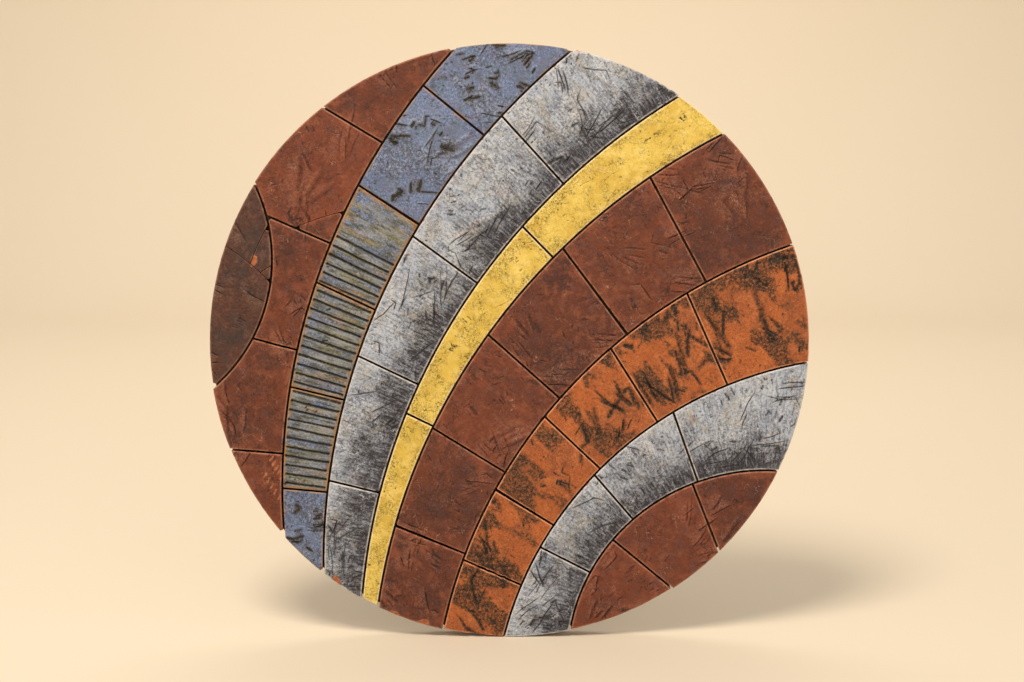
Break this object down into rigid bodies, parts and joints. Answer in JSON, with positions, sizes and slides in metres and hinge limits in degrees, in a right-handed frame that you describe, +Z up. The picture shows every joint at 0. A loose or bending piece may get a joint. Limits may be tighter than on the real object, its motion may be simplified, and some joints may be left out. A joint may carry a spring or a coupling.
{
  "type": "round wall tile",
  "caption": "Round wall tile of hand-cut clay tiles in curved bands of brown, grey, orange, yellow and ribbed blue, set on a flat round board that hangs against a wall.",
  "frame": {"origin": "centre of the board's back face, where it meets the wall", "axes": "+Z up, +Y out of the back and into the wall, so the decorated face looks along -Y"},
  "size_m": [0.5991, 0.0243, 0.599],
  "materials": {
    "board": "raw board, stained dark",
    "brown": "oxide-stained fired clay, dull",
    "dark_brown": "oxide-stained fired clay, dull",
    "grey": "brushed slip over dark stain, dull",
    "yellow": "satin glaze with dark specks",
    "orange": "bare terracotta with dark stain in its marks",
    "blue": "brushed blue slip with brown stain in its marks",
    "ribbed_blue": "blue slip over ribs with brown stain in the grooves"
  },
  "bodies": {
    "root": {"backing_board": "board", "lower_brown_tile_1": "brown", "lower_brown_tile_2": "brown", "lower_brown_tile_3": "brown", "lower_grey_tile_1": "grey", "lower_grey_tile_2": "grey", "lower_grey_tile_3": "grey", "lower_grey_tile_4": "grey", "orange_tile_1": "orange", "orange_tile_2": "orange", "orange_tile_3": "orange", "orange_tile_4": "orange", "orange_tile_5": "orange", "orange_tile_6": "orange", "middle_brown_tile_1": "brown", "middle_brown_tile_2": "brown", "middle_brown_tile_3": "brown", "middle_brown_tile_4": "brown", "middle_brown_tile_5": "brown", "middle_brown_tile_6": "brown", "yellow_tile_1": "yellow", "yellow_tile_2": "yellow", "yellow_tile_3": "yellow", "upper_grey_tile_1": "grey", "upper_grey_tile_2": "grey", "upper_grey_tile_3": "grey", "upper_grey_tile_4": "grey", "upper_grey_tile_5": "grey", "blue_tile_1": "blue", "blue_tile_2": "ribbed_blue", "blue_tile_3": "ribbed_blue", "blue_tile_4": "ribbed_blue", "blue_tile_5": "blue", "blue_tile_6": "blue", "upper_brown_tile_1": "brown", "upper_brown_tile_2": "brown", "upper_brown_tile_3": "brown", "upper_brown_tile_4": "brown", "upper_brown_tile_4_corner": "brown", "upper_brown_tile_5": "brown", "dark_rim_fragment_1": "dark_brown", "dark_rim_fragment_2": "dark_brown", "dark_rim_fragment_3": "dark_brown", "dark_rim_fragment_4": "dark_brown"}
  },
  "joints": []
}
